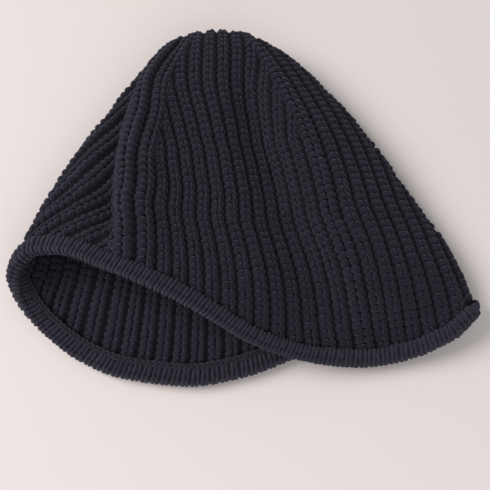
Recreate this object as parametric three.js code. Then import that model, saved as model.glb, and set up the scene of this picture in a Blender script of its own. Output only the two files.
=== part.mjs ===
// Chunky ribbed knit cap, navy, lying collapsed on its far wall as it was laid down.
// Millimetres, +Z up. The mouth faces -Y and stands open at the left, the tip is at +Y.
//
// The knit is one closed cloth bag. "Around" runs once round the bag from the left fold over the
// near (upper) wall to the right fold at 0.5 and back under through the far (lying) wall.
// "Share" runs from the tip (0) to the hem line at 1, which is CAP_LENGTH along the knit.
import * as THREE from 'three';

const CAP_LENGTH = 245;
const HALF_WIDTH = 140;
const HALF_DEPTH = 120;
const LOFT = 40;
const CENTRE_X = -0.98;
const CENTRE_Y = 23.54;

const WALL = 3.2;
const HEM_WALL = 3.2;
const RIB_RELIEF = 1.1;
const LINE_RELIEF = 1.5;
const POINTS_PER_RIB = 2;

const BAND_WALL = 3;
const BAND_OVERLAP = 6.5;
const BAND_GAP = 0.3;
const BAND_HALF = HEM_WALL / 2 + BAND_GAP + BAND_WALL;
// The band's folded edge is rounded by these, out from its faces and up from its foot, and its two
// top edges are bevelled.
const BAND_ROUND_OUT = 1.6;
const BAND_ROUND_UP = 0.6;
const BAND_BEVEL_OUT = 0.9;
const BAND_BEVEL_DOWN = 1;
// The knit turns straight this far above the band, and its last ribbed row lies this far above it.
const STRAIGHT_ABOVE_BAND = 1;
const RIBBED_ABOVE_BAND = 1.5;
const LYING_MID = WALL / 2 + RIB_RELIEF;
const HEM_MID = BAND_HALF;

// Outline of the bag at each share of its length. X as shares of HALF_WIDTH, Y of HALF_DEPTH and
// the height of the two side folds above the lying wall of LOFT.
const SECTIONS = table(
  ['share', 'leftX', 'leftY', 'rightX', 'rightY', 'nearY', 'farY', 'leftFold', 'rightFold'],
  [
    [0.00, -0.120, 1.025, -0.120, 1.025, 1.025, 1.025, 0.000, 0.000],
    [0.03, -0.170, 1.033, -0.070, 1.033, 1.075, 0.975, 0.050, 0.050],
    [0.06, -0.220, 1.050, -0.020, 1.050, 1.105, 0.925, 0.125, 0.125],
    [0.09, -0.270, 1.068, 0.036, 1.065, 1.108, 0.875, 0.225, 0.225],
    [0.12, -0.318, 1.070, 0.105, 1.065, 1.098, 0.833, 0.300, 0.300],
    [0.16, -0.370, 1.035, 0.166, 1.030, 1.035, 0.783, 0.325, 0.300],
    [0.22, -0.432, 0.945, 0.244, 0.950, 0.912, 0.700, 0.350, 0.300],
    [0.34, -0.542, 0.760, 0.384, 0.765, 0.667, 0.550, 0.375, 0.300],
    [0.50, -0.690, 0.467, 0.562, 0.475, 0.342, 0.292, 0.400, 0.275],
    [0.67, -0.820, 0.175, 0.704, 0.190, 0.000, -0.017, 0.425, 0.250],
    [0.84, -0.912, -0.125, 0.834, -0.058, -0.342, -0.342, 0.450, 0.225],
    [1.00, -0.985, -0.433, 0.920, -0.358, -0.667, -0.667, 0.450, 0.225],
    [1.10, -1.025, -0.620, 0.935, -0.545, -0.850, -0.850, 0.450, 0.225],
  ],
);

// Height of the near wall above the table, as shares of LOFT, at stations across the cap from
// the left fold (-1) to the right fold (1).
const STATIONS = [-1, -0.75, -0.45, -0.1, 0.25, 0.6, 0.85, 1];
const HEIGHTS = table(
  ['share', 'left', 'leftEdge', 'leftTop', 'middle', 'centre', 'rightTop', 'rightEdge', 'right'],
  [
    [0.00, 0.06, 0.06, 0.06, 0.06, 0.06, 0.06, 0.06, 0.06],
    [0.06, 0.24, 0.27, 0.29, 0.31, 0.31, 0.29, 0.27, 0.24],
    [0.12, 0.55, 0.65, 0.70, 0.72, 0.70, 0.65, 0.60, 0.50],
    [0.22, 0.70, 0.82, 0.90, 0.92, 0.88, 0.80, 0.70, 0.60],
    [0.34, 0.75, 0.85, 0.95, 0.95, 0.88, 0.82, 0.70, 0.60],
    [0.50, 0.75, 0.85, 0.95, 0.92, 0.85, 0.80, 0.68, 0.58],
    [0.67, 0.80, 0.90, 0.98, 0.90, 0.82, 0.78, 0.65, 0.55],
    [0.84, 0.90, 0.98, 1.00, 0.88, 0.72, 0.65, 0.58, 0.50],
    [0.93, 0.95, 1.00, 0.98, 0.75, 0.52, 0.46, 0.46, 0.46],
    [0.99, 0.98, 1.00, 0.90, 0.62, 0.36, 0.26, 0.34, 0.44],
    [1.10, 0.98, 1.00, 0.85, 0.55, 0.28, 0.21, 0.27, 0.40],
  ],
);

// Folds and valleys of the near wall: where each starts and ends (share, station across), how
// wide it is on its left and right, and its height as a share of LOFT (negative for a valley).
const FOLDS = [
  { name: 'sharp ridge', from: [0.18, -0.90], to: [0.70, -0.54], left: 0.05, right: 0.22, height: 0.24 },
  { name: 'side valley', from: [0.25, -0.95], to: [0.70, -0.60], left: 0.14, right: 0.04, height: -0.22 },
  { name: 'middle valley', from: [0.30, 0.18], to: [0.90, 0.42], left: 0.20, right: 0.12, height: -0.20 },
  { name: 'right bulge', from: [0.30, 0.60], to: [0.90, 0.68], left: 0.14, right: 0.16, height: 0.07 },
  { name: 'dip over the hem', from: [0.93, 0.58], to: [1.00, 0.62], left: 0.16, right: 0.14, height: -0.12 },
];

// Where the four decrease lines lie round the bag at each share of its length.
const LINES = table(
  ['share', 'nearLeft', 'nearRight', 'farRight', 'farLeft'],
  [
    [0.00, 0.125, 0.375, 0.625, 0.875],
    [0.10, 0.132, 0.352, 0.625, 0.875],
    [0.16, 0.136, 0.358, 0.630, 0.875],
    [0.22, 0.130, 0.370, 0.640, 0.880],
    [0.30, 0.127, 0.379, 0.650, 0.883],
    [0.42, 0.142, 0.386, 0.655, 0.886],
    [0.52, 0.146, 0.385, 0.655, 0.887],
    [0.63, 0.158, 0.382, 0.655, 0.887],
    [0.69, 0.158, 0.379, 0.655, 0.887],
    [0.77, 0.153, 0.377, 0.655, 0.887],
    [0.90, 0.155, 0.379, 0.655, 0.887],
    [1.10, 0.162, 0.388, 0.655, 0.887],
  ],
);

// Ribs that are left between one decrease line and the next at each share of the length.
const RIB_COUNTS = table(
  ['share', 'nearWall', 'rightSide', 'farWall', 'leftSide'],
  [
    [0.00, 0.3, 0.6, 0.3, 0.5],
    [0.10, 2.2, 2.7, 2.2, 1.6],
    [0.20, 4.5, 5.2, 4.5, 3.0],
    [0.30, 7.0, 7.2, 7.0, 4.3],
    [0.40, 9.4, 9.0, 9.2, 5.5],
    [0.50, 11.6, 10.8, 11.0, 6.6],
    [0.60, 12.0, 12.4, 12.0, 7.8],
    [0.72, 12.0, 14.2, 12.0, 9.2],
    [0.85, 12.0, 16.0, 12.0, 10.0],
    [1.10, 12.0, 16.0, 12.0, 10.0],
  ],
);

// How much of a panel's cutting is done by its first line at each share of the length.
const CUT_FIRST = table(
  ['share', 'nearWall', 'rightSide', 'farWall', 'leftSide'],
  [
    [0.00, 0.50, 0, 0.5, 0],
    [0.22, 0.55, 0, 0.5, 0],
    [0.29, 0.59, 0, 0.5, 0],
    [0.35, 0.65, 0, 0.5, 0],
    [0.43, 0.80, 0, 0.5, 0],
    [0.48, 1.00, 0, 0.5, 0],
    [1.10, 1.00, 0, 0.5, 0],
  ],
);

// The four panels between the lines: the line each begins at and its width in ribs on this side,
// the ribs beside the second line that run whole to the tip, and how far the ribs swing across.
const PANELS = [
  { name: 'nearWall', line: 'nearLeft', lineWidth: 1.3, wholeRibs: 0, swing: 0 },
  { name: 'rightSide', line: 'nearRight', lineWidth: 1.3, wholeRibs: 0, swing: 0.02 },
  { name: 'farWall', line: 'farRight', lineWidth: 1.3, wholeRibs: 0, swing: 0 },
  { name: 'leftSide', line: 'farLeft', lineWidth: 0.9, wholeRibs: 1, swing: -0.11 },
];
const SWING_SHARES = [0.64, 0.84];
const SWING_PEAK = 28.9;
const LEAST_WEIGHT = 0.02;

// The hem: the share of the length at which the knit ends, round the bag. It dips to two lobes.
const HEM = table(
  ['around', 'share'],
  [
    [0.000, 0.892], [0.030, 0.825], [0.070, 0.808], [0.111, 0.820], [0.167, 0.847],
    [0.218, 0.888], [0.262, 0.934], [0.312, 0.974], [0.362, 1.010], [0.411, 1.035],
    [0.446, 1.045], [0.472, 1.045], [0.492, 1.027], [0.515, 0.990], [0.545, 0.955],
    [0.590, 0.930], [0.640, 0.936], [0.695, 0.962], [0.743, 0.996], [0.801, 1.025],
    [0.860, 1.027], [0.899, 1.012], [0.944, 0.974], [0.971, 0.943], [1.000, 0.892],
  ],
);

// Rows of the knit as shares of each column's own length up to the band.
const ROWS = [0.03, 0.07, 0.12, 0.18, 0.25, 0.33, 0.41, 0.50, 0.59, 0.68, 0.77, 0.86, 0.94];

// The patch of the lying wall that is pressed flat on the table, and its soft margin.
const PRESSED = { around: [0.60, 0.90], share: [0.28, 0.86], aroundMargin: 0.05, shareMargin: 0.08 };

// How far along itself a fold starts before its first point, and the shares over which it fades.
const FOLD_RUN_UP = -0.4;
const FOLD_FADE = 0.12;
const FOLD_END_FADE = 0.06;
// Roundness of the side folds: at this share of the half width from the edge the cloth has risen by
// all but this much.
const ARCH_RADIUS = [0.05, 0.7];
const ARCH_REST = 0.3;
// The cloth is lifted onto the band between these shares short of the hem.
const LIFT_FROM = 0.11;
const LIFT_TO = 0.02;
// The ribs stand out fully between these shares from the tip.
const RIBS_RISE = [0.04, 0.14];
// Steps round the bag and along it over which a direction is measured, and the least share.
const STEP_AROUND = 0.004;
const STEP_SHARE = 0.012;
const LEAST_SHARE = 0.004;
const HEM_STEP_AROUND = 0.006;
const HEM_STEP_SHARE = 0.03;

function table(names, rows) {
  const columns = {};
  names.forEach((name, i) => {
    columns[name] = rows.map((row) => row[i]);
  });
  return columns;
}

function clamp(x, low, high) {
  return Math.min(high, Math.max(low, x));
}

function ease(a, b, x) {
  const t = clamp((x - a) / (b - a), 0, 1);
  return t * t * (3 - 2 * t);
}

// Smooth curve through a table's points that never overshoots them.
function curve(xs, ys, x) {
  const last = xs.length - 2;
  let i = 0;
  while (i < last && x >= xs[i + 1]) i += 1;
  const slope = (k) => (ys[k + 1] - ys[k]) / (xs[k + 1] - xs[k]);
  const tangent = (k) => {
    if (k === 0) return slope(0);
    if (k === xs.length - 1) return slope(k - 1);
    const before = slope(k - 1);
    const after = slope(k);
    if (before * after <= 0) return 0;
    const hb = xs[k] - xs[k - 1];
    const ha = xs[k + 1] - xs[k];
    return (3 * (hb + ha)) / ((2 * ha + hb) / before + (ha + 2 * hb) / after);
  };
  const h = xs[i + 1] - xs[i];
  const t = (x - xs[i]) / h;
  const t2 = t * t;
  const t3 = t2 * t;
  return ys[i] * (2 * t3 - 3 * t2 + 1) + ys[i + 1] * (3 * t2 - 2 * t3)
    + h * (tangent(i) * (t3 - 2 * t2 + t) + tangent(i + 1) * (t3 - t2));
}

function hemShare(around) {
  return curve(HEM.around, HEM.share, around - Math.floor(around));
}

function foldHeight(across, share) {
  let height = 0;
  for (const fold of FOLDS) {
    const [shareA, acrossA] = fold.from;
    const [shareB, acrossB] = fold.to;
    const along = clamp((share - shareA) / (shareB - shareA), FOLD_RUN_UP, 1);
    const off = across - (acrossA + (acrossB - acrossA) * along);
    const width = off < 0 ? fold.left : fold.right;
    const grow = ease(shareA - FOLD_FADE, shareA + FOLD_FADE, share);
    const fade = grow * (1 - ease(shareB - FOLD_END_FADE, shareB + FOLD_FADE, share));
    height += fold.height * LOFT * Math.exp(-((off / width) ** 2)) * fade;
  }
  return height;
}

// Points of one wall at a share of the length, from fold to fold, spaced evenly along the cloth.
function wallSection(share, near, count) {
  const row = {};
  for (const name of Object.keys(SECTIONS)) row[name] = curve(SECTIONS.share, SECTIONS[name], share);
  const names = Object.keys(HEIGHTS).slice(1);
  const heights = names.map((name) => curve(HEIGHTS.share, HEIGHTS[name], share) * LOFT);
  const half = (HALF_WIDTH * (row.rightX - row.leftX)) / 2;
  const middleX = (HALF_WIDTH * (row.rightX + row.leftX)) / 2;
  const middleY = HALF_DEPTH * (near ? row.nearY : row.farY);
  const fine = 240;
  const points = [];
  for (let i = 0; i <= fine; i += 1) {
    const across = Math.cos((Math.PI * i) / fine) * (near ? -1 : 1);
    const sideY = HALF_DEPTH * (across < 0 ? row.leftY : row.rightY);
    const fold = LOFT * (across < 0 ? row.leftFold : row.rightFold);
    const radius = clamp(fold / Math.max(half, 1e-6), ...ARCH_RADIUS);
    const power = Math.log(ARCH_REST) / Math.log(1 - radius);
    const arch = Math.sqrt(clamp(1 - Math.abs(across) ** power, 0, 1));
    const top = curve(STATIONS, heights, across) + foldHeight(across, share) - LYING_MID - fold;
    points.push(new THREE.Vector3(
      middleX + half * across,
      middleY + (sideY - middleY) * across * across,
      share === 0 ? LYING_MID : LYING_MID + (near ? fold + top * arch : fold * (1 - arch)),
    ));
  }
  const run = [0];
  for (let i = 1; i <= fine; i += 1) run.push(run[i - 1] + points[i].distanceTo(points[i - 1]));
  const even = [];
  let k = 0;
  for (let i = 0; i <= count; i += 1) {
    const want = (run[fine] * i) / count;
    while (k < fine - 1 && run[k + 1] < want) k += 1;
    const t = run[k + 1] > run[k] ? (want - run[k]) / (run[k + 1] - run[k]) : 0;
    even.push(points[k].clone().lerp(points[k + 1], clamp(t, 0, 1)));
  }
  return even;
}

// The whole bag's middle surface on a fine grid, lifted at the hem so that the band lies on the table.
const GRID_AROUND = 480;
const GRID_STEP = 0.01;
const GRID_ROWS = 110;
const GRID = [];
for (let j = 0; j <= GRID_ROWS; j += 1) {
  const share = j * GRID_STEP;
  const near = wallSection(share, true, GRID_AROUND / 2);
  const far = wallSection(share, false, GRID_AROUND / 2);
  const ring = near.concat(far.slice(1));
  ring.forEach((point, i) => {
    const hem = hemShare(i / GRID_AROUND);
    const least = LYING_MID + (HEM_MID - LYING_MID) * ease(hem - LIFT_FROM, hem - LIFT_TO, share);
    point.z = Math.max(point.z, least);
  });
  GRID.push(ring);
}

function middleSurface(around, share) {
  const a = (around - Math.floor(around)) * GRID_AROUND;
  const b = clamp(share / GRID_STEP, 0, GRID.length - 1.001);
  const i = Math.min(Math.floor(a), GRID_AROUND - 1);
  const j = Math.floor(b);
  const low = GRID[j][i].clone().lerp(GRID[j][i + 1], a - i);
  const high = GRID[j + 1][i].clone().lerp(GRID[j + 1][i + 1], a - i);
  return low.lerp(high, b - j);
}

function outward(around, share) {
  const stepA = middleSurface(around + STEP_AROUND, share).sub(middleSurface(around - STEP_AROUND, share));
  const before = Math.max(share - STEP_SHARE, LEAST_SHARE);
  const stepS = middleSurface(around, share + STEP_SHARE).sub(middleSurface(around, before));
  return stepS.cross(stepA).normalize();
}

// Every rib at a share of the length: its place round the bag, how much of its width is left, and
// the groove after it. The ribs of a panel run side by side until a decrease line cuts them off.
function ribsAt(share) {
  const lines = PANELS.map((panel) => curve(LINES.share, LINES[panel.line], share));
  lines.push(lines[0] + 1);
  const ribs = [];
  PANELS.forEach(({ name, lineWidth, wholeRibs, swing }, p) => {
    const present = curve(RIB_COUNTS.share, RIB_COUNTS[name], share);
    const cutRibs = RIB_COUNTS[name].at(-1);
    const cutFirst = (cutRibs - present) * curve(CUT_FIRST.share, CUT_FIRST[name], share);
    const grown = [];
    for (let k = 0; k < cutRibs; k += 1) {
      const begin = k - cutFirst;
      grown.push(clamp(begin + 1, 0, present) - clamp(begin, 0, present));
    }
    for (let k = 0; k < wholeRibs; k += 1) grown.push(1);
    const weights = grown.map((g) => LEAST_WEIGHT + (1 - LEAST_WEIGHT) * g);
    const total = weights.reduce((sum, w) => sum + w, lineWidth);
    const lean = SWING_PEAK * swing * ease(SWING_SHARES[0], SWING_SHARES[1], share);
    const place = (run) => {
      const turn = run / total;
      return lines[p] + (lines[p + 1] - lines[p]) * (turn + lean * turn ** 3 * (1 - turn) ** 2);
    };
    let run = lineWidth / 2;
    ribs.push({ around: lines[p], grown: 1, line: true, groove: place(run) });
    weights.forEach((w, i) => {
      ribs.push({ around: place(run + w / 2), grown: grown[i], line: false, groove: place(run + w) });
      run += w;
    });
  });
  return ribs;
}

// A column of the knit: the crest of a rib, or the groove between it and the next one.
function columnAt(column, share) {
  const ribs = ribsAt(share);
  const rib = Math.floor(column / POINTS_PER_RIB);
  const here = ribs[rib];
  if (column % POINTS_PER_RIB === 0) {
    return { around: here.around, relief: (here.line ? LINE_RELIEF : RIB_RELIEF) * here.grown };
  }
  const next = ribs[(rib + 1) % ribs.length];
  return { around: here.groove, relief: -RIB_RELIEF * Math.min(here.grown, next.grown) };
}

const COLUMNS = ribsAt(1).length * POINTS_PER_RIB;

// Where each column meets the hem, with the band's own directions there.
const EDGE = [];
for (let column = 0; column < COLUMNS; column += 1) {
  let share = 0.95;
  for (let i = 0; i < 12; i += 1) share = hemShare(columnAt(column, share).around);
  EDGE.push({ share, around: columnAt(column, share).around });
}
EDGE.forEach((edge) => {
  edge.point = middleSurface(edge.around, edge.share);
  const before = edge.around - HEM_STEP_AROUND;
  const after = edge.around + HEM_STEP_AROUND;
  const along = middleSurface(after, hemShare(after)).sub(middleSurface(before, hemShare(before)));
  along.normalize();
  const down = edge.point.clone().sub(middleSurface(edge.around, edge.share - HEM_STEP_SHARE));
  edge.down = down.addScaledVector(along, -down.dot(along)).normalize();
  edge.out = edge.down.clone().cross(along).normalize();
});

function aboveTable(point) {
  point.z = Math.max(point.z, 0);
  return point;
}

function pressedAmount(around, share) {
  const turn = around - Math.floor(around);
  const { around: a, share: s, aroundMargin, shareMargin } = PRESSED;
  return ease(a[0], a[0] + aroundMargin, turn) * (1 - ease(a[1] - aroundMargin, a[1], turn))
    * ease(s[0], s[0] + shareMargin, share) * (1 - ease(s[1] - shareMargin, s[1], share));
}

// Mesh of closed rings of points joined in order, with flat caps given as extra triangles.
function ringMesh(rings, extraPoints, extraFaces, closed) {
  const around = rings[0].length;
  const positions = [];
  rings.forEach((ring) => ring.forEach((p) => positions.push(p.x, p.y, p.z)));
  extraPoints.forEach((p) => positions.push(p.x, p.y, p.z));
  const index = [];
  const count = closed ? rings.length : rings.length - 1;
  for (let j = 0; j < count; j += 1) {
    const a = j * around;
    const b = ((j + 1) % rings.length) * around;
    for (let i = 0; i < around; i += 1) {
      const k = (i + 1) % around;
      index.push(a + i, b + i, b + k, a + i, b + k, a + k);
    }
  }
  extraFaces.forEach((face) => index.push(...face));
  const geometry = new THREE.BufferGeometry();
  geometry.setAttribute('position', new THREE.Float32BufferAttribute(positions, 3));
  geometry.setIndex(index);
  geometry.translate(-CENTRE_X, -CENTRE_Y, 0);
  geometry.computeVertexNormals();
  return geometry;
}

function yarnMaterial(colour) {
  return new THREE.MeshStandardMaterial({ color: colour, roughness: 0.95, metalness: 0 });
}

// Crown: the ribbed knit bag, an outer and an inner face joined at the hem.
function crown() {
  const outer = [];
  const inner = [];
  for (const row of ROWS) {
    const outerRing = [];
    const innerRing = [];
    for (let column = 0; column < COLUMNS; column += 1) {
      const share = row * (EDGE[column].share - (BAND_OVERLAP + RIBBED_ABOVE_BAND) / CAP_LENGTH);
      const { around, relief } = columnAt(column, share);
      const point = middleSurface(around, share);
      const out = outward(around, share);
      const bloom = ease(...RIBS_RISE, share);
      const outerPoint = point.clone().addScaledVector(out, WALL / 2 + relief * bloom);
      outerPoint.z *= 1 - pressedAmount(around, share);
      outerRing.push(aboveTable(outerPoint));
      innerRing.push(point.clone().addScaledVector(out, relief * bloom - WALL / 2));
    }
    outer.push(outerRing);
    inner.push(innerRing);
  }
  for (const back of [BAND_OVERLAP + STRAIGHT_ABOVE_BAND, 0]) {
    const lift = (edge, side) => edge.point.clone().addScaledVector(edge.down, -back)
      .addScaledVector(edge.out, (side * HEM_WALL) / 2);
    outer.push(EDGE.map((edge) => lift(edge, 1)));
    inner.push(EDGE.map((edge) => lift(edge, -1)));
  }
  const rings = outer.concat(inner.reverse());
  const tip = middleSurface(0, 0);
  const out = new THREE.Vector3();
  for (let i = 0; i < 24; i += 1) out.add(outward(i / 24, 0.03));
  out.normalize();
  const outerTip = aboveTable(tip.clone().addScaledVector(out, WALL / 2));
  const innerTip = tip.clone().addScaledVector(out, -WALL / 2);
  const outerIndex = rings.length * COLUMNS;
  const lastRing = (rings.length - 1) * COLUMNS;
  const faces = [];
  for (let i = 0; i < COLUMNS; i += 1) {
    const k = (i + 1) % COLUMNS;
    faces.push([outerIndex, i, k]);
    faces.push([outerIndex + 1, lastRing + k, lastRing + i]);
  }
  const mesh = new THREE.Mesh(ringMesh(rings, [outerTip, innerTip], faces, false), yarnMaterial('#2a2a33'));
  mesh.name = 'crown';
  return mesh;
}

// Hem band: a knitted strip folded over the knit's edge, its slot clear of the knit all round.
function hemBand() {
  const slot = HEM_WALL / 2 + BAND_GAP;
  const profile = [
    { down: BAND_GAP, out: slot },
    { down: BAND_GAP, out: -slot },
    { down: -BAND_OVERLAP, out: -slot },
    { down: -BAND_OVERLAP, out: BAND_BEVEL_OUT - BAND_HALF },
    { down: BAND_BEVEL_DOWN - BAND_OVERLAP, out: -BAND_HALF },
    { down: 0, out: -BAND_HALF },
    { down: BAND_WALL - BAND_ROUND_UP, out: BAND_ROUND_OUT - BAND_HALF },
    { down: BAND_WALL + BAND_GAP, out: 0 },
    { down: BAND_WALL - BAND_ROUND_UP, out: BAND_HALF - BAND_ROUND_OUT },
    { down: 0, out: BAND_HALF },
    { down: BAND_BEVEL_DOWN - BAND_OVERLAP, out: BAND_HALF },
    { down: -BAND_OVERLAP, out: BAND_HALF - BAND_BEVEL_OUT },
    { down: -BAND_OVERLAP, out: slot },
  ];
  const rings = EDGE.map((edge) => profile.map(({ down, out }) => aboveTable(
    edge.point.clone().addScaledVector(edge.down, down).addScaledVector(edge.out, out),
  )));
  const mesh = new THREE.Mesh(ringMesh(rings, [], [], true), yarnMaterial('#2d2d37'));
  mesh.name = 'hem_band';
  return mesh;
}

const cap = new THREE.Group();
cap.name = 'knit_cap';
cap.add(crown(), hemBand());

export default cap;
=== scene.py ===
# Chunky ribbed knit cap, near-black navy, lying flattened on a pale table with its mouth open.
import bpy
import numpy as np
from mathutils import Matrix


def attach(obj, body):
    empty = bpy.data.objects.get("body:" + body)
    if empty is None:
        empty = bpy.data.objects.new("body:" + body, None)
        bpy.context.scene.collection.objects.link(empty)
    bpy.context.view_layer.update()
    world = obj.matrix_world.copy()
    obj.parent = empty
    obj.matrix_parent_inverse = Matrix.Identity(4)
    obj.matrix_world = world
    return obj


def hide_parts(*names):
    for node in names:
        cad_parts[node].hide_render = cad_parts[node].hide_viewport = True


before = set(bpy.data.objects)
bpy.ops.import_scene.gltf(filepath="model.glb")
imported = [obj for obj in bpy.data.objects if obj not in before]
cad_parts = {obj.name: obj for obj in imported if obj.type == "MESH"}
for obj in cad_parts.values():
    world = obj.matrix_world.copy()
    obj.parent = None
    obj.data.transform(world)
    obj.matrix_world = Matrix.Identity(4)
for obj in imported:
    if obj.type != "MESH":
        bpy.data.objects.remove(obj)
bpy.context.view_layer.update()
bpy.ops.object.select_all(action="DESELECT")

# Camera: looks steeply down at the cap from the side of its mouth.
VIEW_TARGET = (0.00098, -0.02354, 0.0)
VIEW_ELEVATION = np.radians(68)
VIEW_DISTANCE = 0.520
bpy.ops.object.camera_add(
    location=(VIEW_TARGET[0],
              VIEW_TARGET[1] - VIEW_DISTANCE * np.cos(VIEW_ELEVATION),
              VIEW_DISTANCE * np.sin(VIEW_ELEVATION)),
    rotation=(np.pi / 2 - VIEW_ELEVATION, 0, 0))
camera = bpy.context.object
camera.data.sensor_width = 36
camera.data.lens = 63.7
camera.data.clip_start = 0.01
bpy.context.scene.camera = camera

# Table: a plain pale top, and the soft even light of a bright room, a little warmer at the left.
TABLE_SIZE = 6
TABLE_DROP = 0.0003
bpy.ops.mesh.primitive_plane_add(size=TABLE_SIZE, location=(0, 0, -TABLE_DROP))
table_top = bpy.context.object
table_top.name = "table_top"
paint = bpy.data.materials.new("pale_table")
paint.use_nodes = True
coat = paint.node_tree.nodes["Principled BSDF"]
coat.inputs["Base Color"].default_value = (0.580, 0.541, 0.525, 1)
coat.inputs["Roughness"].default_value = 0.75
table_top.data.materials.append(paint)

room = bpy.data.worlds.new("bright_room")
room.use_nodes = True
walls = room.node_tree.nodes["Background"]
walls.inputs["Color"].default_value = (0.97, 0.97, 1.0, 1)
walls.inputs["Strength"].default_value = 0.48
bpy.context.scene.world = room
bpy.context.scene.view_settings.view_transform = "Standard"
for name, place, turn, size, power, tint in (
    ("window", (-1.6, 0.2, 1.5), (-0.13, -0.81, 0), 1.4, 52.0, (1.0, 0.955, 0.94)),
    ("front", (0.1, -1.3, 1.1), (0.86, 0.08, 0), 1.4, 12.0, (1.0, 0.97, 0.97)),
):
    bpy.ops.object.light_add(type="AREA", location=place, rotation=turn)
    light = bpy.context.object
    light.name = name
    light.data.shape = "DISK"
    light.data.size = size
    light.data.energy = power
    light.data.color = tint

# Crown, the cloth itself: a bag of thick rib knitting, one closed fabric from the hem to the tip.
# Its shape is the one it fell into when it was laid down. "Around" runs once round the bag from the
# left fold over the upper wall to the right fold at 0.5 and back underneath; "share" from tip to hem.
HALF_WIDTH = 0.140
HALF_DEPTH = 0.120
LOFT = 0.040
CENTRE = np.array([-0.00098, 0.02354, 0.0])
LYING_MID = 0.0027
HEM_MID = 0.0049
BAND_OVERLAP = 0.0065

# share, left x, left y, right x, right y, upper wall y, lying wall y, left fold, right fold
SECTIONS = np.array([
    (0.00, -0.120, 1.025, -0.120, 1.025, 1.025, 1.025, 0.000, 0.000),
    (0.03, -0.170, 1.033, -0.070, 1.033, 1.075, 0.975, 0.050, 0.050),
    (0.06, -0.220, 1.050, -0.020, 1.050, 1.105, 0.925, 0.125, 0.125),
    (0.09, -0.270, 1.068, 0.036, 1.065, 1.108, 0.875, 0.225, 0.225),
    (0.12, -0.318, 1.070, 0.105, 1.065, 1.098, 0.833, 0.300, 0.300),
    (0.16, -0.370, 1.035, 0.166, 1.030, 1.035, 0.783, 0.325, 0.300),
    (0.22, -0.432, 0.945, 0.244, 0.950, 0.912, 0.700, 0.350, 0.300),
    (0.34, -0.542, 0.760, 0.384, 0.765, 0.667, 0.550, 0.375, 0.300),
    (0.50, -0.690, 0.467, 0.562, 0.475, 0.342, 0.292, 0.400, 0.275),
    (0.67, -0.820, 0.175, 0.704, 0.190, 0.000, -0.017, 0.425, 0.250),
    (0.84, -0.912, -0.125, 0.834, -0.058, -0.342, -0.342, 0.450, 0.225),
    (1.00, -0.985, -0.433, 0.920, -0.358, -0.667, -0.667, 0.450, 0.225),
    (1.10, -1.025, -0.620, 0.935, -0.545, -0.850, -0.850, 0.450, 0.225),
])
# Height of the upper wall at stations across the cap, as shares of the loft.
STATIONS = np.array([-1, -0.75, -0.45, -0.1, 0.25, 0.6, 0.85, 1])
HEIGHTS = np.array([
    (0.00, 0.06, 0.06, 0.06, 0.06, 0.06, 0.06, 0.06, 0.06),
    (0.06, 0.24, 0.27, 0.29, 0.31, 0.31, 0.29, 0.27, 0.24),
    (0.12, 0.55, 0.65, 0.70, 0.72, 0.70, 0.65, 0.60, 0.50),
    (0.22, 0.70, 0.82, 0.90, 0.92, 0.88, 0.80, 0.70, 0.60),
    (0.34, 0.75, 0.85, 0.95, 0.95, 0.88, 0.82, 0.70, 0.60),
    (0.50, 0.75, 0.85, 0.95, 0.92, 0.85, 0.80, 0.68, 0.58),
    (0.67, 0.80, 0.90, 0.98, 0.90, 0.82, 0.78, 0.65, 0.55),
    (0.84, 0.90, 0.98, 1.00, 0.88, 0.72, 0.65, 0.58, 0.50),
    (0.93, 0.95, 1.00, 0.98, 0.75, 0.52, 0.46, 0.46, 0.46),
    (0.99, 0.98, 1.00, 0.90, 0.62, 0.36, 0.26, 0.34, 0.44),
    (1.10, 0.98, 1.00, 0.85, 0.55, 0.28, 0.21, 0.27, 0.40),
])
# from share, across, to share, across, width left, width right, height as a share of the loft
FOLDS = (
    (0.18, -0.90, 0.70, -0.54, 0.038, 0.22, 0.24),
    (0.25, -0.95, 0.70, -0.60, 0.14, 0.034, -0.22),
    (0.30, 0.18, 0.90, 0.42, 0.20, 0.12, -0.20),
    (0.30, 0.60, 0.90, 0.68, 0.14, 0.16, 0.07),
    (0.93, 0.58, 1.00, 0.62, 0.16, 0.14, -0.12),
)
# Where the four decrease lines lie round the bag: share, upper left, upper right, under right, left
LINES = np.array([
    (0.00, 0.125, 0.375, 0.625, 0.875),
    (0.10, 0.132, 0.352, 0.625, 0.875),
    (0.16, 0.136, 0.358, 0.630, 0.875),
    (0.22, 0.130, 0.370, 0.640, 0.880),
    (0.30, 0.127, 0.379, 0.650, 0.883),
    (0.42, 0.142, 0.386, 0.655, 0.886),
    (0.52, 0.146, 0.385, 0.655, 0.887),
    (0.63, 0.158, 0.382, 0.655, 0.887),
    (0.69, 0.158, 0.379, 0.655, 0.887),
    (0.77, 0.153, 0.377, 0.655, 0.887),
    (0.90, 0.155, 0.379, 0.655, 0.887),
    (1.10, 0.162, 0.388, 0.655, 0.887),
])
# Ribs between one decrease line and the next at a share: upper wall, right side, lying wall, left side
RIB_COUNTS = np.array([
    (0.00, 0.3, 0.6, 0.3, 0.5),
    (0.10, 2.2, 2.7, 2.2, 1.6),
    (0.20, 4.5, 5.2, 4.5, 3.0),
    (0.30, 7.0, 7.2, 7.0, 4.3),
    (0.40, 9.4, 9.0, 9.2, 5.5),
    (0.50, 11.6, 10.8, 11.0, 6.6),
    (0.60, 12.0, 12.4, 12.0, 7.8),
    (0.72, 12.0, 14.2, 12.0, 9.2),
    (0.85, 12.0, 16.0, 12.0, 10.0),
    (1.10, 12.0, 16.0, 12.0, 10.0),
])
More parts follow.
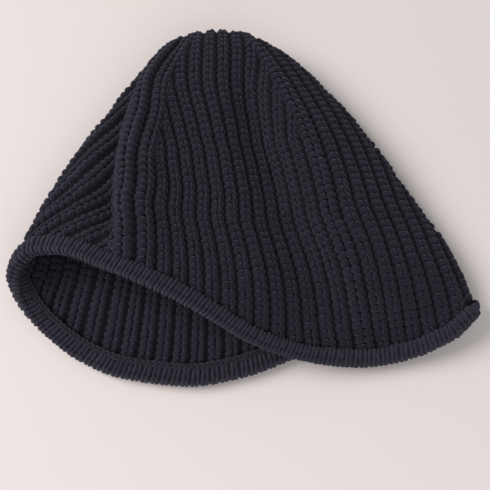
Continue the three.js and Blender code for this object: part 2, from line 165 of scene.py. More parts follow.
# How much of a panel's cutting is done at its first line: share, and the same four panels
CUT_FIRST = np.array([
    (0.00, 0.50, 0, 0.5, 0),
    (0.22, 0.55, 0, 0.5, 0),
    (0.29, 0.59, 0, 0.5, 0),
    (0.35, 0.65, 0, 0.5, 0),
    (0.43, 0.80, 0, 0.5, 0),
    (0.48, 1.00, 0, 0.5, 0),
    (1.10, 1.00, 0, 0.5, 0),
])
# Ribs that run whole beside a panel's second line, and the width of the line ribs on its side, in ribs.
WHOLE_RIBS = (0, 0, 0, 1)
LINE_WIDTHS = (1.3, 1.3, 1.3, 0.9)
# The hem: the share at which the knitting ends, round the bag. It dips to two lobes.
HEM = np.array([
    (0.000, 0.892), (0.030, 0.825), (0.070, 0.808), (0.111, 0.820), (0.167, 0.847),
    (0.218, 0.888), (0.262, 0.934), (0.312, 0.974), (0.362, 1.010), (0.411, 1.035),
    (0.446, 1.045), (0.472, 1.045), (0.492, 1.027), (0.515, 0.990), (0.545, 0.955), (0.590, 0.930),
    (0.640, 0.936), (0.695, 0.962), (0.743, 0.996), (0.801, 1.025), (0.860, 1.027),
    (0.899, 1.012), (0.944, 0.974), (0.971, 0.943), (1.000, 0.892),
])
# How far along itself a fold starts before its first point, and the shares over which it fades.
FOLD_RUN_UP = -0.4
FOLD_FADE = 0.12
FOLD_END_FADE = 0.06
# Roundness of the side folds: at this share of the half width from the edge the cloth has risen by
# all but this much.
ARCH_RADIUS = (0.05, 0.7)
ARCH_REST = 0.3
# The cloth is lifted onto the band from this share short of the hem, over the next.
LIFT_FROM = 0.11
LIFT_OVER = 0.09
WALL_STEPS = 241


def ease(a, b, x):
    """Smooth step from 0 at a to 1 at b."""
    t = np.clip((np.asarray(x, float) - a) / (b - a), 0, 1)
    return t * t * (3 - 2 * t)


def curve(xs, ys, x):
    """Smooth curve through a table's points that never overshoots them."""
    xs, ys, x = (np.asarray(v, float) for v in (xs, ys, x))
    gap = np.diff(xs)
    slope = np.diff(ys) / gap
    tangent = np.concatenate([slope[:1], np.zeros(len(xs) - 2), slope[-1:]])
    for k in range(1, len(xs) - 1):
        before, after = slope[k - 1], slope[k]
        if before * after > 0:
            hb, ha = gap[k - 1], gap[k]
            tangent[k] = 3 * (hb + ha) / ((2 * ha + hb) / before + (ha + 2 * hb) / after)
    i = np.clip(np.searchsorted(xs, x, side="right") - 1, 0, len(gap) - 1)
    t = (x - xs[i]) / gap[i]
    return (ys[i] * (2 * t**3 - 3 * t**2 + 1) + ys[i + 1] * (3 * t**2 - 2 * t**3)
            + gap[i] * (tangent[i] * (t**3 - 2 * t**2 + t) + tangent[i + 1] * (t**3 - t**2)))


def hem_share(around):
    """Share of the length at which the knitting ends."""
    return curve(HEM[:, 0], HEM[:, 1], np.asarray(around, float) % 1.0)


def wall_line(share, upper, count):
    """Points of one wall from fold to fold at a share of the length, evenly spaced along the cloth."""
    left_x, left_y, right_x, right_y, upper_y, lying_y, left_fold, right_fold = (
        float(curve(SECTIONS[:, 0], SECTIONS[:, i], share)) for i in range(1, 9))
    across = np.cos(np.linspace(0, np.pi, WALL_STEPS)) * (-1 if upper else 1)
    heights = np.array([float(curve(HEIGHTS[:, 0], HEIGHTS[:, i], share)) for i in range(1, 9)])
    heights = heights * LOFT
    half = HALF_WIDTH * (right_x - left_x) / 2
    middle_y = HALF_DEPTH * (upper_y if upper else lying_y)
    side_y = HALF_DEPTH * np.where(across < 0, left_y, right_y)
    fold = LOFT * np.where(across < 0, left_fold, right_fold)
    radius = np.clip(fold / max(half, 1e-9), *ARCH_RADIUS)
    arch = np.sqrt(np.clip(1 - np.abs(across) ** (np.log(ARCH_REST) / np.log(1 - radius)), 0, 1))
    top = curve(STATIONS, heights, across) - LYING_MID - fold
    for share_a, across_a, share_b, across_b, width_left, width_right, height in FOLDS:
        along = np.clip((share - share_a) / (share_b - share_a), FOLD_RUN_UP, 1)
        off = across - (across_a + (across_b - across_a) * along)
        grow = ease(share_a - FOLD_FADE, share_a + FOLD_FADE, share)
        fade = grow * (1 - ease(share_b - FOLD_END_FADE, share_b + FOLD_FADE, share))
        width = np.where(off < 0, width_left, width_right)
        top = top + height * LOFT * fade * np.exp(-(off / width) ** 2)
    z = LYING_MID + (fold + top * arch if upper else fold * (1 - arch))
    if share == 0:
        z = np.full_like(across, LYING_MID)
    points = np.stack([HALF_WIDTH * (right_x + left_x) / 2 + half * across,
                       middle_y + (side_y - middle_y) * across**2, z], 1)
    run = np.concatenate([[0], np.cumsum(np.linalg.norm(np.diff(points, axis=0), axis=1))])
    even = np.linspace(0, run[-1], count + 1)
    return np.stack([np.interp(even, run, points[:, c]) for c in range(3)], 1)


GRID_AROUND = 480
GRID_SHARE = 110
ROWS_A_LENGTH = 100
cloth = np.zeros((GRID_SHARE + 1, GRID_AROUND + 1, 3))
for j in range(GRID_SHARE + 1):
    upper_line = wall_line(j / ROWS_A_LENGTH, True, GRID_AROUND // 2)
    lying_line = wall_line(j / ROWS_A_LENGTH, False, GRID_AROUND // 2)
    cloth[j] = np.concatenate([upper_line, lying_line[1:]])
grid_around = np.arange(GRID_AROUND + 1) / GRID_AROUND
grid_share = np.arange(GRID_SHARE + 1)[:, None] / ROWS_A_LENGTH
grid_hem = hem_share(grid_around)[None, :]
lift = ease(0, 1, (grid_share - grid_hem + LIFT_FROM) / LIFT_OVER)
lifted = LYING_MID + (HEM_MID - LYING_MID) * lift
cloth[:, :, 2] = np.maximum(cloth[:, :, 2], lifted)
cloth -= CENTRE


def read_grid(grid, around, share):
    """A value between the points of a grid round the bag and along it."""
    a = (np.asarray(around, float) % 1.0) * GRID_AROUND
    b = np.clip(np.asarray(share, float) * ROWS_A_LENGTH, 0, GRID_SHARE - 0.001)
    i = np.clip(a.astype(int), 0, GRID_AROUND - 1)
    j = b.astype(int)
    fa, fb = (a - i)[..., None], (b - j)[..., None]
    return ((grid[j, i] * (1 - fa) + grid[j, i + 1] * fa) * (1 - fb)
            + (grid[j + 1, i] * (1 - fa) + grid[j + 1, i + 1] * fa) * fb)


def middle(around, share):
    """The cloth's middle surface."""
    return read_grid(cloth, around, share)


def unit(v):
    """The same directions, one long."""
    return v / np.maximum(np.linalg.norm(v, axis=-1, keepdims=True), 1e-12)


# Steps round the bag and along it over which its directions are measured, and the least share.
STEP_AROUND = 0.004
STEP_SHARE = 0.012
LEAST_SHARE = 0.004
whole_around, whole_share = np.meshgrid(grid_around, grid_share[:, 0])
step_around = (middle(whole_around + STEP_AROUND, whole_share)
               - middle(whole_around - STEP_AROUND, whole_share))
step_share = (middle(whole_around, whole_share + STEP_SHARE)
              - middle(whole_around, np.maximum(whole_share - STEP_SHARE, LEAST_SHARE)))
facing = unit(np.cross(step_share, step_around))
# At the very tip all rows face the mean way of the fourth row.
facing[:2] = unit(facing[3].mean(0))


def outward(around, share):
    """The cloth's outward direction."""
    return unit(read_grid(facing, around, share))


# Every rib from the tip to the hem. The ribs of a panel run side by side and the lines cut them off.
RIB_SHARES = np.linspace(0, 1.1, 221)
# How far the ribs of a panel swing across it on their way to the hem, as a share of its width.
SWINGS = (0, 0.02, 0, -0.11)
SWING_SHARES = (0.64, 0.84)
SWING_PEAK = 28.9
# Where a rib's two columns of yarn legs lie across it, and how far, in ribs, each still runs in under
# the line that cuts it off.
LEG_PLACES = (0.25, 0.75)
TUCKED = 0.3
line_places = [curve(LINES[:, 0], LINES[:, i], RIB_SHARES) for i in range(1, 5)]
line_places.append(line_places[0] + 1)
rib_middle, rib_grown, rib_is_line, groove = [], [], [], []
rib_own, rib_left, rib_right, rib_raised, rib_seen = [], [], [], [], []
for p in range(4):
    present = curve(RIB_COUNTS[:, 0], RIB_COUNTS[:, p + 1], RIB_SHARES)
    cut_ribs = int(RIB_COUNTS[-1, p + 1])
    cut_first = (cut_ribs - present) * curve(CUT_FIRST[:, 0], CUT_FIRST[:, p + 1], RIB_SHARES)
    line_half = LINE_WIDTHS[p] / 2
    total = 2 * line_half + WHOLE_RIBS[p] + present
    panel = line_places[p + 1] - line_places[p]
    swing = SWINGS[p] * ease(*SWING_SHARES, RIB_SHARES)

    def laid(ribs):
        """Where cloth lies that is so many ribs from the middle of the panel's first line."""
        turn = ribs / total
        return line_places[p] + panel * (turn + SWING_PEAK * swing * turn**3 * (1 - turn) ** 2)

    rib_middle.append(line_places[p])
    rib_own.append(line_places[p])
    rib_left.append(groove[-1] if groove else line_places[p])
    rib_right.append(laid(line_half))
    rib_raised.append(True)
    rib_grown.append(np.ones_like(RIB_SHARES))
    rib_seen.append((np.ones_like(RIB_SHARES), np.ones_like(RIB_SHARES)))
    rib_is_line.append(True)
    groove.append(laid(line_half))
    for k in range(cut_ribs + WHOLE_RIBS[p]):
        begin = k - cut_first if k < cut_ribs else present + k - cut_ribs
        limit = present if k < cut_ribs else total
        left, right = np.clip(begin, 0, limit), np.clip(begin + 1, 0, limit)
        rib_middle.append(laid(line_half + (left + right) / 2))
        rib_grown.append(right - left)
        rib_own.append(laid(line_half + begin + 0.5))
        rib_left.append(laid(line_half + begin))
        rib_right.append(laid(line_half + begin + 1))
        rib_raised.append(k >= cut_ribs)
        rib_seen.append([np.minimum(begin + leg, limit - begin - leg) + TUCKED
                         for leg in LEG_PLACES])
        rib_is_line.append(False)
        groove.append(laid(line_half + right))
rib_middle, rib_grown, rib_seen = np.array(rib_middle), np.array(rib_grown), np.array(rib_seen)
rib_is_line, groove = np.array(rib_is_line), np.array(groove)
rib_left[0] = groove[-1] - 1
rib_own, rib_left, rib_right = np.array(rib_own), np.array(rib_left), np.array(rib_right)
RIBS = len(rib_middle)
rib_next = np.concatenate([rib_middle[1:], rib_middle[:1] + 1])


def mesh_piece(name, points, faces, uv=None, tone_and_painted_light=None, smooth=True):
    """A mesh from arrays. Faces are given as lists of arrays, one for each number of corners."""
    mesh = bpy.data.meshes.new(name)
    corners = np.concatenate([f.ravel() for f in faces]).astype(np.int32)
    sizes = np.concatenate([np.full(len(f), f.shape[1]) for f in faces]).astype(np.int32)
    starts = np.concatenate([[0], np.cumsum(sizes)[:-1]]).astype(np.int32)
    mesh.vertices.add(len(points))
    mesh.vertices.foreach_set("co", np.asarray(points, np.float32).ravel())
    mesh.loops.add(len(corners))
    mesh.loops.foreach_set("vertex_index", corners)
    mesh.polygons.add(len(sizes))
    mesh.polygons.foreach_set("loop_start", starts)
    mesh.polygons.foreach_set("loop_total", sizes)
    mesh.update(calc_edges=True)
    mesh.polygons.foreach_set("use_smooth", np.full(len(sizes), smooth))
    if uv is not None:
        layer = mesh.uv_layers.new(name="strand")
        layer.data.foreach_set("uv", np.asarray(uv, np.float32).ravel())
    if tone_and_painted_light is not None:
        layer = mesh.attributes.new("tone_and_painted_light", "FLOAT", "POINT")
        layer.data.foreach_set("value", np.asarray(tone_and_painted_light, np.float32))
    mesh.validate()
    piece = bpy.data.objects.new(name, mesh)
    bpy.context.scene.collection.objects.link(piece)
    return piece


def above_table(points):
    """The points, with those that would sink into the table laid on it."""
    points[..., 2] = np.maximum(points[..., 2], 0)
    return points


# Yarn finish: matt fibre with fine plies twisted along each strand, a little random change of colour,
# painted shade in the grooves between plies, and the painted highlight and shade that each piece
# carries per point.
FULL_TURN = 6.28318


def yarn_finish():
    group = bpy.data.node_groups.new("twisted_yarn", "ShaderNodeTree")
    face = group.interface
    for name, kind, value in (
        ("Colour", "NodeSocketColor", (0.02, 0.02, 0.03, 1)),
        ("Plies", "NodeSocketFloat", 3.0),
        ("Twist", "NodeSocketFloat", 2.0),
        ("Ply depth", "NodeSocketFloat", 0.5),
        ("Fibre size", "NodeSocketFloat", 1700.0),
        ("Variation", "NodeSocketFloat", 0.25),
    ):
        socket = face.new_socket(name=name, in_out="INPUT", socket_type=kind)
        socket.default_value = value
    for name, kind in (
        ("Colour", "NodeSocketColor"),
        ("Height", "NodeSocketFloat"),
        ("Roughness", "NodeSocketFloat"),
    ):
        face.new_socket(name=name, in_out="OUTPUT", socket_type=kind)
    node, link = group.nodes.new, group.links.new
    given, out = node("NodeGroupInput"), node("NodeGroupOutput")

    def math(operation, a, b=None, c=None):
        n = node("ShaderNodeMath")
        n.operation = operation
        for k, value in enumerate((a, b, c)):
            if value is None:
                continue
            if isinstance(value, (int, float)):
                n.inputs[k].default_value = value
            else:
                link(value, n.inputs[k])
        return n.outputs[0]

    strand = node("ShaderNodeUVMap")
    strand.uv_map = "strand"
    split = node("ShaderNodeSeparateXYZ")
    link(strand.outputs["UV"], split.inputs[0])
    turn = math("ADD", split.outputs["X"], math("MULTIPLY", split.outputs["Y"], given.outputs["Twist"]))
    wave = math("SINE", math("MULTIPLY", math("MULTIPLY", turn, given.outputs["Plies"]), FULL_TURN))
    ply = math("SQRT", math("MULTIPLY_ADD", wave, 0.5, 0.5))
    place = node("ShaderNodeTexCoord")
    fibre = node("ShaderNodeTexNoise")
    link(place.outputs["Object"], fibre.inputs["Vector"])
    link(given.outputs["Fibre size"], fibre.inputs["Scale"])
    fibre.inputs["Detail"].default_value = 3
    fibre.inputs["Roughness"].default_value = 0.65
    cloud = node("ShaderNodeTexNoise")
    link(place.outputs["Object"], cloud.inputs["Vector"])
    cloud.inputs["Scale"].default_value = 45
    cloud.inputs["Detail"].default_value = 2
    # The piece's own per-point value: a random change of colour per stitch, with painted highlight on
    # the tops of legs and painted shade in the grooves.
    tone_and_painted_light = node("ShaderNodeAttribute")
    tone_and_painted_light.attribute_name = "tone_and_painted_light"
    height = math("ADD", math("MULTIPLY", ply, given.outputs["Ply depth"]),
                  math("MULTIPLY", fibre.outputs["Fac"], 0.55))
    link(height, out.inputs["Height"])
    sway = math("ADD", math("SUBTRACT", tone_and_painted_light.outputs["Fac"], 0.5),
                math("SUBTRACT", math("MULTIPLY", cloud.outputs["Fac"], 1.2), 0.6))
    sway = math("ADD", sway, math("MULTIPLY", math("SUBTRACT", fibre.outputs["Fac"], 0.5), 2.6))
    # Painted shade: the colour is a little darker in the grooves between the plies and lighter on their
    # crests.
    sway = math("ADD", sway, math("MULTIPLY", math("SUBTRACT", ply, 0.65), 0.35))
    gain = math("MAXIMUM", math("MULTIPLY_ADD", sway, given.outputs["Variation"], 1.0), 0.2)
    shade = node("ShaderNodeMix")
    shade.data_type = "RGBA"
    shade.blend_type = "MULTIPLY"
    shade.inputs["Factor"].default_value = 1.0
    link(given.outputs["Colour"], shade.inputs["A"])
    grey = node("ShaderNodeCombineColor")
    for channel in ("Red", "Green", "Blue"):
        link(gain, grey.inputs[channel])
    link(grey.outputs[0], shade.inputs["B"])
    link(shade.outputs["Result"], out.inputs["Colour"])
    link(math("MULTIPLY_ADD", fibre.outputs["Fac"], -0.15, 0.98), out.inputs["Roughness"])
    return group


twisted_yarn = yarn_finish()


def yarn(name, colour, plies, twist, ply_depth, variation, relief, sheen):
    material = bpy.data.materials.new(name)
    material.use_nodes = True
    tree = material.node_tree
    shader = tree.nodes["Principled BSDF"]
    shader.inputs["Specular IOR Level"].default_value = 0.12
    shader.inputs["Sheen Weight"].default_value = sheen
    shader.inputs["Sheen Roughness"].default_value = 0.5
    shader.inputs["Sheen Tint"].default_value = (0.62, 0.62, 0.80, 1)
    finish = tree.nodes.new("ShaderNodeGroup")
    finish.node_tree = twisted_yarn
    finish.inputs["Colour"].default_value = (*colour, 1)
    finish.inputs["Plies"].default_value = plies
    finish.inputs["Twist"].default_value = twist
    finish.inputs["Ply depth"].default_value = ply_depth
    finish.inputs["Variation"].default_value = variation
    bump = tree.nodes.new("ShaderNodeBump")
    bump.inputs["Strength"].default_value = 0.8
    bump.inputs["Distance"].default_value = relief
    tree.links.new(finish.outputs["Colour"], shader.inputs["Base Color"])
    tree.links.new(finish.outputs["Roughness"], shader.inputs["Roughness"])
    tree.links.new(finish.outputs["Height"], bump.inputs["Height"])
    tree.links.new(bump.outputs["Normal"], shader.inputs["Normal"])
    return material


# The cloth under the stitches shows only in the gaps between them; its yarn is painted much darker than
# the rib yarn, as painted shade in those gaps.
ground_knit_painted_shade = yarn("knit_ground_painted_shade", (0.0044, 0.0042, 0.0066), 3, 2, 0.4, 0.35, 0.0004, 0.05)
rib_yarn = yarn("rib_yarn", (0.0085, 0.0081, 0.0136), 3, 1.3, 0.6, 0.38, 0.0008, 0.14)

CLOTH_HALF = 0.0007
CLOTH_RELIEF = 0.0006
CLOTH_ROWS = 84
FIRST_ROW = 0.02
# The ribs stand out fully between these shares from the tip, and are flat again for the band.
RIBS_RISE = (0.03, 0.12)
FLATTENED_AT_HEM = (-0.05, -0.025)
columns = []
for r in range(RIBS):
    columns.append((rib_middle[r], CLOTH_RELIEF * rib_grown[r]))
    quarter = (rib_middle[r] + groove[r]) / 2
    columns.append((quarter, 0 * rib_grown[r]))
    columns.append((groove[r], -CLOTH_RELIEF * np.minimum(rib_grown[r], np.roll(rib_grown, -1, 0)[r])))
    quarter = (rib_next[r] + groove[r]) / 2
    columns.append((quarter, 0 * rib_grown[r]))
column_around = np.array([c[0] for c in columns])
column_relief = np.array([c[1] for c in columns])
COLUMNS = len(columns)


def hem_of_columns(lines):
    """Share at which each line that runs from tip to hem meets the hem."""
    share = np.full(len(lines), 0.95)
    for _ in range(12):
        place = np.array([np.interp(s, RIB_SHARES, line) for s, line in zip(share, lines)])
        share = hem_share(place)
    return share


column_end = hem_of_columns(column_around)
row_share = np.linspace(FIRST_ROW, 1, CLOTH_ROWS)[:, None] * column_end[None, :]
row_around, row_relief = (
    np.array([np.interp(row_share[:, c], RIB_SHARES, values[c]) for c in range(COLUMNS)]).T
    for values in (column_around, column_relief))
flattened = ease(*FLATTENED_AT_HEM, row_share - column_end[None, :])
row_relief = row_relief * ease(*RIBS_RISE, row_share) * (1 - flattened)
cloth_middle, cloth_out = middle(row_around, row_share), outward(row_around, row_share)
outer_face = above_table(cloth_middle + cloth_out * (row_relief + CLOTH_HALF)[..., None])
inner_face = cloth_middle + cloth_out * (row_relief - CLOTH_HALF)[..., None]
rings = np.concatenate([outer_face, inner_face[::-1]])
ring_count = len(rings)
tip_out = unit(outward(np.linspace(0, 1, 24, endpoint=False), np.full(24, 0.03)).sum(0))
tip = middle(0.0, 0.0)
cloth_points = np.concatenate([rings.reshape(-1, 3), [above_table(tip + tip_out * CLOTH_HALF)],
                               [tip - tip_out * CLOTH_HALF]])
jj, ii = np.meshgrid(np.arange(ring_count - 1), np.arange(COLUMNS), indexing="ij")
kk = (ii + 1) % COLUMNS
cloth_quads = np.stack([jj * COLUMNS + ii, (jj + 1) * COLUMNS + ii,
                        (jj + 1) * COLUMNS + kk, jj * COLUMNS + kk], -1)
first = np.arange(COLUMNS)
after = (first + 1) % COLUMNS
last = (ring_count - 1) * COLUMNS
cap_outer = np.stack([np.full(COLUMNS, ring_count * COLUMNS), first, after], 1)
cap_inner = np.stack([np.full(COLUMNS, ring_count * COLUMNS + 1), last + after, last + first], 1)
crown_knit = mesh_piece("crown_knit", cloth_points, [cloth_quads.reshape(-1, 4), cap_outer, cap_inner],
                        tone_and_painted_light=np.full(len(cloth_points), 0.5))
crown_knit.data.uv_layers.new(name="strand")
crown_knit.data.materials.append(ground_knit_painted_shade)
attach(crown_knit, "root")
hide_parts("crown")

# Rib stitches: each rib is a column of nested knit stitches, two plump yarn legs leaning in to a
# point towards the hem. The same columns show inside, between those outside.
STITCH_ROW = 0.00445
WIDEST_HALF_RIB = 0.0078
# A leg's sizes across are shares of the half rib, and those along it of the row.
LEG_LENGTH = 1.08
LEG_LEAN = 0.46
LEG_FOOT = 0.28
LEG_SPREAD = 0.31
LEG_HALF = 0.54
LEG_THICK = 0.0015
LEG_BASE = 0.0008
LEG_ARCH = 0.0006
RIB_DROOP = 0.0021
LINE_RISE = 0.0007
RIBS_UNDER_BAND = 0.0012
NARROW_HALF_RIB = 0.0040

bpy.ops.mesh.primitive_uv_sphere_add(segments=6, ring_count=6, radius=1, calc_uvs=True)
leg = bpy.context.object
leg_points = np.array([v.co for v in leg.data.vertices])
leg_tris = np.array([p.vertices[:] for p in leg.data.polygons if len(p.vertices) == 3])
leg_quads = np.array([p.vertices[:] for p in leg.data.polygons if len(p.vertices) == 4])
leg_uvs = np.array([u.uv for u in leg.data.uv_layers.active.data])
leg_uv_quads, leg_uv_tris = (
    np.array([leg_uvs[list(p.loop_indices)] for p in leg.data.polygons if len(p.vertices) == corners])
    for corners in (4, 3))
bpy.data.objects.remove(leg)
leg_along = (1 - leg_points[:, 2]) / 2
leg_ring = np.maximum(np.hypot(leg_points[:, 0], leg_points[:, 1]), 1e-9)
leg_side, leg_up = leg_points[:, 0] / leg_ring, leg_points[:, 1] / leg_ring
leg_plump = np.sqrt(np.clip(1 - np.abs(leg_points[:, 2]) ** 2.8, 0, 1))


def join_legs(name, points, mirrored, tone_and_painted_light, material):
    """Joins many copies of the leg into one piece. Points is copies x leg points x 3."""
    count, size = points.shape[:2]
    base = (np.arange(count) * size)[:, None, None]
    quads, tris = leg_quads[None] + base, leg_tris[None] + base
    uv_quads = np.repeat(leg_uv_quads[None], count, 0)
    uv_tris = np.repeat(leg_uv_tris[None], count, 0)
    flip = np.asarray(mirrored, bool)
    quads[flip] = quads[flip][:, :, ::-1]
    tris[flip] = tris[flip][:, :, ::-1]
    uv_quads[flip] = uv_quads[flip][:, :, ::-1]
    uv_tris[flip] = uv_tris[flip][:, :, ::-1]
    uv = np.concatenate([uv_quads.reshape(-1, 2), uv_tris.reshape(-1, 2)])
    piece = mesh_piece(name, points.reshape(-1, 3), [quads.reshape(-1, 4), tris.reshape(-1, 3)],
                       uv=uv, tone_and_painted_light=np.broadcast_to(tone_and_painted_light, (count, size)).ravel())
    piece.data.materials.append(material)
    return piece


def rib_stitches(name, lines, left_edges, right_edges, seen, raised, wanted, face_side,
                 top_share, tone_and_painted_light, chance):
    """Stitches of ribs along lines (around, at RIB_SHARES), on the outer (1) or inner (-1) face."""
    ends = hem_of_columns(lines)
    all_points, all_mirrored, all_tone_and_painted_light = [], [], []
    for r in range(len(lines)):
        line = middle(lines[r], RIB_SHARES)
        arc = np.concatenate([[0], np.cumsum(np.linalg.norm(np.diff(line, axis=0), axis=1))])
        arc_from = np.interp(top_share, RIB_SHARES, arc)
        arc_to = np.interp(ends[r], RIB_SHARES, arc) - BAND_OVERLAP + RIBS_UNDER_BAND
        if arc_to - arc_from < STITCH_ROW:
            continue
        column = np.arange(arc_to - chance.uniform(0.2, 0.9) * STITCH_ROW, arc_from, -STITCH_ROW)
        column_share = np.interp(column, arc, RIB_SHARES)
        in_reach = wanted(np.interp(column_share, RIB_SHARES, lines[r]))
        half_left = np.linalg.norm(middle(left_edges[r], RIB_SHARES) - line, axis=1)
        half_right = np.linalg.norm(middle(right_edges[r], RIB_SHARES) - line, axis=1)
        way = unit(np.gradient(line, axis=0))
        sideways = unit(middle(lines[r] + 0.003, RIB_SHARES) - middle(lines[r] - 0.003, RIB_SHARES))
        skew = (way * sideways).sum(1)
        for side, edge, half, shown in ((-1, left_edges[r], half_left, seen[r][0]),
                                        (1, right_edges[r], half_right, seen[r][1])):
            rows = column[in_reach & (np.interp(column_share, RIB_SHARES, shown) > 0)]
            n = len(rows)
            size = 1 + chance.normal(0, 0.035, (n, 1))
            slip = chance.normal(0, 0.035, (n, 1))
            lift = chance.normal(0, 0.00012, (n, 1))
            sway = chance.normal(0, 0.025, (n, 1))
            t = leg_along[None, :]
            across = LEG_HALF * size * leg_plump * leg_side * side
            off = LEG_FOOT + sway + LEG_SPREAD * t**0.85 + across * np.cos(LEG_LEAN)
            up = -LEG_LENGTH / 2 + LEG_LENGTH * t + slip - across * np.sin(LEG_LEAN)
            high = (LEG_BASE + LEG_ARCH * np.sin(np.pi * t) ** 0.8 + lift
                    + LEG_THICK * size * leg_plump * leg_up - RIB_DROOP * off**2)
            if raised[r]:
                high = high + LINE_RISE
            run = rows[:, None] - up * STITCH_ROW
            share = np.interp(run, arc, RIB_SHARES)
            width = np.interp(share, RIB_SHARES, half)
            trim = np.minimum(1, WIDEST_HALF_RIB / np.maximum(width, 1e-6))
            run = run - side * off * width * trim * np.interp(share, RIB_SHARES, skew)
            share = np.interp(run, arc, RIB_SHARES)
            centre = np.interp(share, RIB_SHARES, lines[r])
            reach = np.interp(share, RIB_SHARES, np.abs(edge - lines[r]))
            narrow = np.clip(width / NARROW_HALF_RIB, 0.25, 1)
            rise = face_side * high * (0.45 + 0.55 * narrow)
            place = centre + side * off * reach * trim
            points = middle(place, share) + outward(place, share) * rise[..., None]
            all_points.append(above_table(points))
            all_mirrored.append(np.full(n, face_side < 0))
            # Per-stitch value: a random change of colour per stitch, plus a painted highlight on the
            # top of each leg with painted shade under it, and painted shade on the leg's outer flank
            # where it runs down into the groove.
            all_tone_and_painted_light.append(tone_and_painted_light + chance.normal(0, 0.18, (n, 1)) + 0.25 * leg_up[None, :]
                            - 0.7 * np.clip((off - 0.62) / 0.3, 0, 1))
    points = np.concatenate(all_points)
    return join_legs(name, points, np.concatenate(all_mirrored), np.concatenate(all_tone_and_painted_light), rib_yarn)


def is_upper(around):
    return (around % 1.0) < 0.5


def is_lying(around):
    return (around % 1.0) >= 0.5


chance = np.random.RandomState(5)
upper_stitches = rib_stitches("upper_rib_stitches", rib_own, rib_left, rib_right, rib_seen, rib_raised,
                              is_upper, 1, 0.035, 0.6, chance)
lying_stitches = rib_stitches("lying_rib_stitches", rib_own, rib_left, rib_right, rib_seen, rib_raised,
                              is_lying, 1, 0.035, 0.6, chance)
# Inside, the ribs beside a decrease line reach over to the nearest rib that has begun.
inside_grown = np.minimum(rib_grown, np.roll(rib_grown, -1, 0))
inside_left, inside_right = rib_middle.copy(), rib_next.copy()
line_ribs = np.flatnonzero(rib_is_line)
for place, after_place in zip(line_ribs, list(line_ribs[1:]) + [RIBS]):
    count = (after_place - place - 1) // 2
    reach = rib_middle[place + count]
    for k in range(place + count, place, -1):
        begun = ease(0.15, 0.5, rib_grown[k])
        reach = reach * (1 - begun) + rib_middle[k] * begun
    inside_right[place] = reach
    inside_grown[place] = 1
    reach = rib_middle[after_place - count]
    for k in range(after_place - count, after_place):
        begun = ease(0.15, 0.5, rib_grown[k])
        reach = reach * (1 - begun) + rib_middle[k] * begun
    inside_left[after_place - 1] = reach
    inside_grown[after_place - 1] = 1
no_lines = np.zeros(RIBS, bool)
inside_seen = np.stack([inside_grown, inside_grown], 1) - 0.15
# The inside stitches get a higher value than those outside (1.3 against 0.6): they are painted lighter,
# as painted light where little light reaches the inside.
inside_upper = rib_stitches("inside_upper_stitches", groove, inside_left, inside_right, inside_seen,
                            no_lines, is_upper, -1, 0.3, 1.3, chance)
inside_lying = rib_stitches("inside_lying_stitches", groove, inside_left, inside_right, inside_seen,
                            no_lines, is_lying, -1, 0.3, 1.3, chance)
for piece in (upper_stitches, lying_stitches, inside_upper, inside_lying):
    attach(piece, "root")

# Edge band: a narrow knitted strip folded over the raw edge all round the mouth, its own stitches
# running across the edge, and linked to the crown by a row of chain stitches on the inside.
BAND_PITCH = 0.0056
BAND_ROW = 0.0053
BAND_SLANT = 0.15
BAND_LEG_HEIGHT = 0.0036
BAND_TIP_DEPTH = 0.0021
KNIT_SLOT_HALF = 0.0021
KNIT_SLOT_DEPTH = 0.0006
SHELL_SUNK = 0.0002
HEM_STEP = 0.006
HEM_RISE = 0.03

hem_around = np.linspace(0, 1, 1441)
hem_line = middle(hem_around, hem_share(hem_around))
hem_run = np.concatenate([[0], np.cumsum(np.linalg.norm(np.diff(hem_line, axis=0), axis=1))])
HEM_LENGTH = hem_run[-1]


def hem_frame(run):
    """Point on the knitting's edge at a distance round the hem, with the band's own directions."""
    around = np.interp(np.asarray(run) % HEM_LENGTH, hem_run, hem_around)
    point = middle(around, hem_share(around))
    before, after = around - HEM_STEP, around + HEM_STEP
    along = unit(middle(after, hem_share(after)) - middle(before, hem_share(before)))
    down = point - middle(around, hem_share(around) - HEM_RISE)
    down = unit(down - along * (down * along).sum(-1, keepdims=True))
    return point, down, unit(np.cross(down, along))


def band_profile(q, height):
    """Where a point lies across the folded strip: q metres along it from its outer top edge."""
    straight = BAND_OVERLAP
    bend = np.pi * 0.5 * (BAND_LEG_HEIGHT + BAND_TIP_DEPTH)
    turn = np.clip((q - straight) / bend, 0, 1) * np.pi
    down = np.where(q < straight, q - straight, np.where(q > straight + bend, straight + bend - q,
                                                         BAND_TIP_DEPTH * np.sin(turn)))
    out = BAND_LEG_HEIGHT * np.cos(turn)
    normal_down = np.where((q < straight) | (q > straight + bend), 0, np.sin(turn))
    return down + normal_down * height, out + np.cos(turn) * height


BAND_ACROSS = 2 * BAND_OVERLAP + np.pi * 0.5 * (BAND_LEG_HEIGHT + BAND_TIP_DEPTH)
stations = np.linspace(0, HEM_LENGTH, 481)[:-1]
edge, down, out = hem_frame(stations)
shell = []
for q in np.linspace(0, BAND_ACROSS, 15):
    d, o = band_profile(q, -SHELL_SUNK)
    shell.append((float(d), float(o)))
slot = [(shell[0][0] + 0.0004, KNIT_SLOT_HALF), (KNIT_SLOT_DEPTH, KNIT_SLOT_HALF),
        (KNIT_SLOT_DEPTH, -KNIT_SLOT_HALF), (shell[-1][0] + 0.0004, -KNIT_SLOT_HALF)]
shell = slot + shell[::-1]
band_rings = np.array([edge + down * d + out * o for d, o in shell]).transpose(1, 0, 2)
band_points = above_table(band_rings.reshape(-1, 3).copy())
side_count = len(shell)
jj, ii = np.meshgrid(np.arange(len(stations)), np.arange(side_count), indexing="ij")
nj, ni = (jj + 1) % len(stations), (ii + 1) % side_count
band_quads = np.stack([jj * side_count + ii, nj * side_count + ii,
                       nj * side_count + ni, jj * side_count + ni], -1)
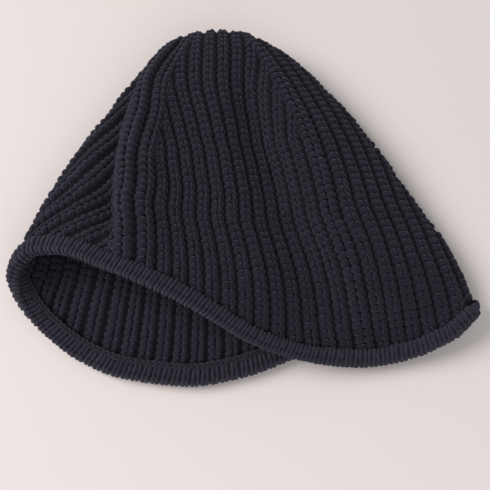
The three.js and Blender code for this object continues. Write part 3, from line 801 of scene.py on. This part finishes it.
edge_band = mesh_piece("edge_band", band_points, [band_quads.reshape(-1, 4)],
                       tone_and_painted_light=np.full(len(band_points), 0.5))
edge_band.data.uv_layers.new(name="strand")
# The band's core shows only between its stitches; it is painted darker than the band yarn, as painted
# shade in those gaps.
band_ground_painted_shade = yarn("band_ground_painted_shade", (0.0105, 0.0098, 0.0145), 3, 2, 0.4, 0.35, 0.0004, 0.1)
band_yarn = yarn("band_yarn", (0.0180, 0.0166, 0.0248), 3, 1.3, 0.6, 0.30, 0.0004, 0.16)
edge_band.data.materials.append(band_ground_painted_shade)

# The band's stitches stand closer together round the mouth's left corner.
rows_across = int(round(BAND_ACROSS / BAND_ROW))
crowded = 1 + 0.2 * ease(0.03, 0.10, hem_around) * (1 - ease(0.28, 0.40, hem_around))
wale_steps = np.diff(hem_run) * (crowded[1:] + crowded[:-1]) / 2
wale_count = np.concatenate([[0], np.cumsum(wale_steps)]) / BAND_PITCH
wales = int(round(wale_count[-1]))
wale_run = np.interp((np.arange(wales) + 0.5) * wale_count[-1] / wales, wale_count, hem_run)
wale_half = 0.5 * BAND_PITCH / np.interp(wale_run, hem_run, crowded)
row_q = (np.arange(rows_across) + 0.5) * BAND_ACROSS / rows_across
run0, q0 = (m.ravel() for m in np.meshgrid(wale_run, row_q, indexing="ij"))
half0 = np.repeat(wale_half, rows_across)[:, None]
band_legs = []
for side in (-1, 1):
    n = len(run0)
    t = leg_along[None, :]
    size = 1 + chance.normal(0, 0.05, (n, 1))
    off = 0.36 + chance.normal(0, 0.03, (n, 1)) + 0.20 * t + 0.46 * size * leg_plump * leg_side * side
    slip = chance.normal(0, 0.05, (n, 1))
    q = q0[:, None] - (-0.62 + 1.24 * t + slip - 0.10 * leg_side * side * leg_plump) * BAND_ROW
    high = -0.0004 + 0.0004 * np.sin(np.pi * t) + 0.00115 * size * leg_plump * leg_up - 0.0003 * off**2
    run = run0[:, None] + side * off * half0 + BAND_SLANT * (BAND_ACROSS / 2 - q)
    p, dn, ot = hem_frame(run)
    d, o = band_profile(np.clip(q, -0.0008, BAND_ACROSS + 0.0008), high)
    band_legs.append(above_table(p + dn * d[..., None] + ot * o[..., None]))
band_stitches = join_legs("band_stitches", np.concatenate(band_legs), np.zeros(2 * len(run0), bool),
                          0.5 + chance.normal(0, 0.15, (2 * len(run0), 1)), band_yarn)

CHAIN_LINK = 0.0036
CHAIN_ABOVE_BAND = 0.0012
CHAIN_INWARD = 0.0033
links = int(round(HEM_LENGTH / CHAIN_LINK))
link_run = np.arange(links) * HEM_LENGTH / links
chain_legs = []
for side in (-1, 1):
    t = leg_along[None, :]
    run = link_run[:, None] + (t - 0.5) * CHAIN_LINK * 1.35 + chance.normal(0, 0.0001, (links, 1))
    width = side * (0.00045 + 0.0009 * t) + 0.0009 * leg_plump * leg_side
    high = 0.0003 * np.sin(np.pi * t) + 0.0008 * leg_plump * leg_up
    p, dn, ot = hem_frame(run)
    chain_legs.append(above_table(p + dn * (-BAND_OVERLAP - CHAIN_ABOVE_BAND + width)[..., None]
                                  - ot * (CHAIN_INWARD + high)[..., None]))
# The chain's stitches are painted darker than the band's, as painted shade in the join on the inside of
# the mouth.
linking_chain = join_legs("linking_chain", np.concatenate(chain_legs), np.ones(2 * links, bool),
                          -0.2 + chance.normal(0, 0.1, (2 * links, 1)), band_yarn)
for piece in (edge_band, band_stitches, linking_chain):
    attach(piece, "root")
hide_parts("hem_band")
